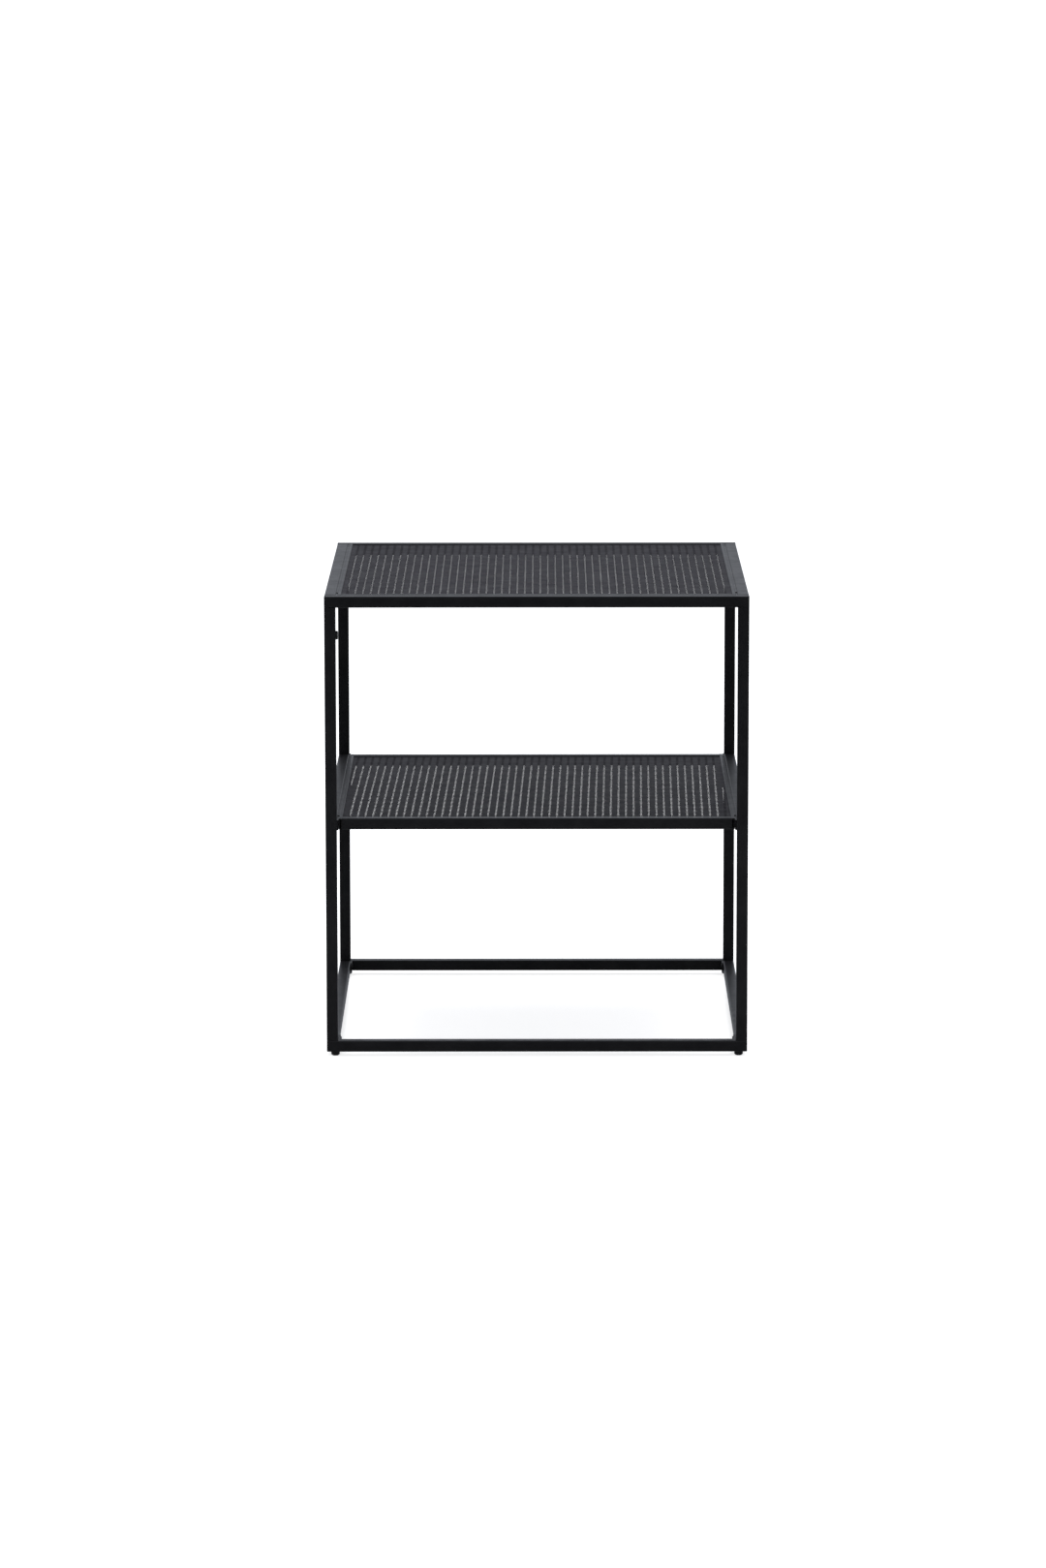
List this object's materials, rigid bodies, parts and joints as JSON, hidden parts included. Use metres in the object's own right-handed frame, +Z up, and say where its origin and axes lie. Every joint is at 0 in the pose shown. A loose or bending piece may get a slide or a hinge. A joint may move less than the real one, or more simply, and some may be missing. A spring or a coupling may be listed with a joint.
{
  "type": "folding side table",
  "caption": "Box-frame side table in square tube with a perforated top deck and a perforated middle shelf, which folds flat as a parallelogram on riveted hinges.",
  "frame": {"origin": "on the floor, under the middle of the table", "axes": "+Z up, +X to the right and -Y to the front, as seen by someone facing the front frame"},
  "size_m": [0.45, 0.45, 0.4965],
  "materials": {
    "frame_paint": "fine-textured satin black powder coat",
    "sheet_paint": "satin black powder coat on perforated steel sheet",
    "black_fastener": "black-coated steel pins and rivets",
    "black_plastic": "matte moulded black plastic",
    "spring_steel": "plain spring steel strip"
  },
  "bodies": {
    "rear_frame": {"rear_base_lugs": "frame_paint", "rear_base_rail": "frame_paint", "rear_base_rail_plugs": "black_plastic", "rear_glides": "black_plastic", "rear_leg_left": "frame_paint", "rear_leg_right": "frame_paint", "rear_shelf_lugs": "frame_paint", "rear_top_lugs": "frame_paint", "rear_top_rail": "frame_paint", "rear_top_rail_plugs": "black_plastic"},
    "front_frame": {"front_base_lugs": "frame_paint", "front_base_rail": "frame_paint", "front_base_rail_plugs": "black_plastic", "front_glides": "black_plastic", "front_leg_left": "frame_paint", "front_leg_right": "frame_paint", "front_shelf_lugs": "frame_paint", "front_stop_tabs": "frame_paint", "front_top_lugs": "frame_paint", "front_top_rail": "frame_paint", "front_top_rail_plugs": "black_plastic"},
    "deck": {"deck_front_bar": "frame_paint", "deck_ledges": "frame_paint", "deck_pins_front": "black_fastener", "deck_pins_rear": "black_fastener", "deck_rail_plugs": "black_plastic", "deck_rear_bar": "frame_paint", "deck_rim_left": "frame_paint", "deck_rim_right": "frame_paint", "deck_rim_rivets": "black_fastener", "deck_rim_spacers": "frame_paint", "deck_sheet": "sheet_paint", "deck_side_rail_left": "frame_paint", "deck_side_rail_right": "frame_paint"},
    "shelf": {"shelf_front_tube": "frame_paint", "shelf_ledges": "frame_paint", "shelf_pins_front": "black_fastener", "shelf_pins_rear": "black_fastener", "shelf_rail_plugs": "black_plastic", "shelf_rear_tube": "frame_paint", "shelf_rim_left": "frame_paint", "shelf_rim_right": "frame_paint", "shelf_rim_rivets": "black_fastener", "shelf_rim_spacers": "frame_paint", "shelf_sheet": "sheet_paint", "shelf_side_rail_left": "frame_paint", "shelf_side_rail_right": "frame_paint"},
    "base_link_left": {"base_rail_left": "frame_paint", "base_rail_left_pins": "black_fastener", "base_rail_left_plugs": "black_plastic"},
    "base_link_right": {"base_rail_right": "frame_paint", "base_rail_right_pins": "black_fastener", "base_rail_right_plugs": "black_plastic"},
    "lock_button": {"lock_button": "black_plastic", "lock_leaf_spring": "spring_steel"}
  },
  "joints": [
    {"name": "shelf_fold", "type": "hinge", "parent": "rear_frame", "child": "shelf", "pos_m": [0, 0.1965, 0.25], "axis": [-1, 0, 0], "range_deg": [0, 85]},
    {"name": "front_frame_fold", "type": "hinge", "parent": "shelf", "child": "front_frame", "pos_m": [0, -0.1965, 0.25], "axis": [-1, 0, 0], "range_deg": [-85, 0]},
    {"name": "deck_fold", "type": "hinge", "parent": "rear_frame", "child": "deck", "pos_m": [0, 0.1965, 0.4905], "axis": [-1, 0, 0], "range_deg": [0, 85]},
    {"name": "base_left_fold", "type": "hinge", "parent": "rear_frame", "child": "base_link_left", "pos_m": [-0.219, 0.2027, 0.0105], "axis": [-1, 0, 0], "range_deg": [0, 85]},
    {"name": "base_right_fold", "type": "hinge", "parent": "rear_frame", "child": "base_link_right", "pos_m": [0.219, 0.2027, 0.0105], "axis": [-1, 0, 0], "range_deg": [0, 85]},
    {"name": "lock_button_press", "type": "slide", "parent": "front_frame", "child": "lock_button", "axis": [-1, 0, 0], "range_m": [0, 0.002], "stiffness_N_per_m": 400, "springref_m": -0.003}
  ],
  "couplings": [
    {"joint": "front_frame_fold", "follows": "shelf_fold", "ratio": -1},
    {"joint": "deck_fold", "follows": "shelf_fold", "ratio": 1},
    {"joint": "base_left_fold", "follows": "shelf_fold", "ratio": 1},
    {"joint": "base_right_fold", "follows": "shelf_fold", "ratio": 1}
  ]
}
